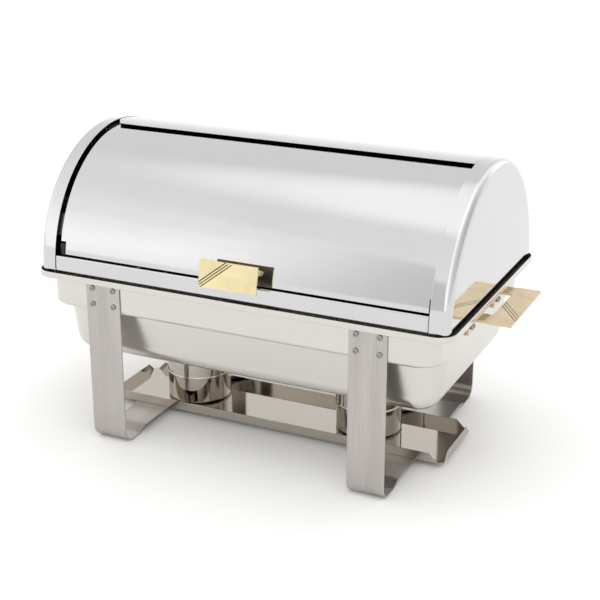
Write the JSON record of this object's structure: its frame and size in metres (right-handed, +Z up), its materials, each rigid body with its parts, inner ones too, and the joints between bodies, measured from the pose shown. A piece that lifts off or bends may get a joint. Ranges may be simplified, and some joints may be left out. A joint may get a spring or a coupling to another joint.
{
  "type": "roll-top chafing dish",
  "caption": "Rectangular buffet food warmer: deep water pan on bent strap legs, roll-back half-cylinder lid, brass handles and fuel holders on a low shelf.",
  "frame": {"origin": "on the ground, under the middle of the object's box", "axes": "+X to the object's right along its length, +Y to the rear, away from the lid handle, +Z up"},
  "size_m": [0.684, 0.3796, 0.4158],
  "materials": {
    "polished_steel": "mirror-polished stainless steel",
    "satin_steel": "satin stainless steel",
    "brushed_steel": "brushed stainless steel, grain along the strap",
    "fastener_steel": "bright fasteners",
    "brass": "pale polished brass",
    "black_rubber": "matt black"
  },
  "bodies": {
    "base": {"water_pan": "satin_steel", "rim_frame": "satin_steel", "fuel_shelf": "polished_steel", "leg_frame_left": "brushed_steel", "leg_frame_right": "brushed_steel", "end_handle_left": "brass", "end_handle_right": "brass", "end_handle_screw_left_front": "fastener_steel", "end_handle_screw_left_rear": "fastener_steel", "end_handle_screw_right_front": "fastener_steel", "end_handle_screw_right_rear": "fastener_steel", "leg_screw_left_front_1": "fastener_steel", "leg_screw_left_front_2": "fastener_steel", "leg_screw_left_front_3": "fastener_steel", "leg_screw_left_front_4": "fastener_steel", "leg_screw_left_rear_1": "fastener_steel", "leg_screw_left_rear_2": "fastener_steel", "leg_screw_left_rear_3": "fastener_steel", "leg_screw_left_rear_4": "fastener_steel", "leg_screw_right_front_1": "fastener_steel", "leg_screw_right_front_2": "fastener_steel", "leg_screw_right_front_3": "fastener_steel", "leg_screw_right_front_4": "fastener_steel", "leg_screw_right_rear_1": "fastener_steel", "leg_screw_right_rear_2": "fastener_steel", "leg_screw_right_rear_3": "fastener_steel", "leg_screw_right_rear_4": "fastener_steel"},
    "food_pan": {"food_pan": "satin_steel"},
    "hood": {"end_cap_left": "polished_steel", "end_cap_right": "polished_steel", "front_rail": "polished_steel", "rear_shell": "polished_steel", "pivot_pin_left": "fastener_steel", "pivot_pin_right": "fastener_steel", "pivot_nut_left": "fastener_steel", "pivot_nut_right": "fastener_steel", "lid_bumper_left": "black_rubber", "lid_bumper_right": "black_rubber"},
    "roll_lid": {"roll_lid": "polished_steel", "lid_handle": "brass", "lid_bracket_left": "brushed_steel", "lid_bracket_right": "brushed_steel", "lid_handle_screw_left": "fastener_steel", "lid_handle_screw_right": "fastener_steel"},
    "fuel_holder_left": {"fuel_cup_left": "polished_steel", "fuel_cover_left": "polished_steel", "damper_rivet_left": "fastener_steel"},
    "fuel_damper_left": {"fuel_damper_left": "polished_steel"},
    "fuel_holder_right": {"fuel_cup_right": "polished_steel", "fuel_cover_right": "polished_steel", "damper_rivet_right": "fastener_steel"},
    "fuel_damper_right": {"fuel_damper_right": "polished_steel"}
  },
  "joints": [
    {"name": "hood_lift", "type": "slide", "parent": "base", "child": "hood", "axis": [0, 0, 1], "range_m": [0, 0.15]},
    {"name": "lid_roll", "type": "hinge", "parent": "hood", "child": "roll_lid", "pos_m": [0, 0.00581, 0.2385], "axis": [-1, 0, 0], "range_deg": [0, 64]},
    {"name": "food_pan_lift", "type": "slide", "parent": "base", "child": "food_pan", "axis": [0, 0, 1], "range_m": [0, 0.03]},
    {"name": "fuel_left_lift", "type": "slide", "parent": "base", "child": "fuel_holder_left", "axis": [0, 0, 1], "range_m": [0, 0.03]},
    {"name": "fuel_left_damper", "type": "hinge", "parent": "fuel_holder_left", "child": "fuel_damper_left", "pos_m": [-0.18715, 0.00681, 0.0728], "axis": [0, 0, 1], "range_deg": [0, 105]},
    {"name": "fuel_right_lift", "type": "slide", "parent": "base", "child": "fuel_holder_right", "axis": [0, 0, 1], "range_m": [0, 0.03]},
    {"name": "fuel_right_damper", "type": "hinge", "parent": "fuel_holder_right", "child": "fuel_damper_right", "pos_m": [0.08685, 0.00681, 0.0728], "axis": [0, 0, 1], "range_deg": [0, 105]}
  ]
}
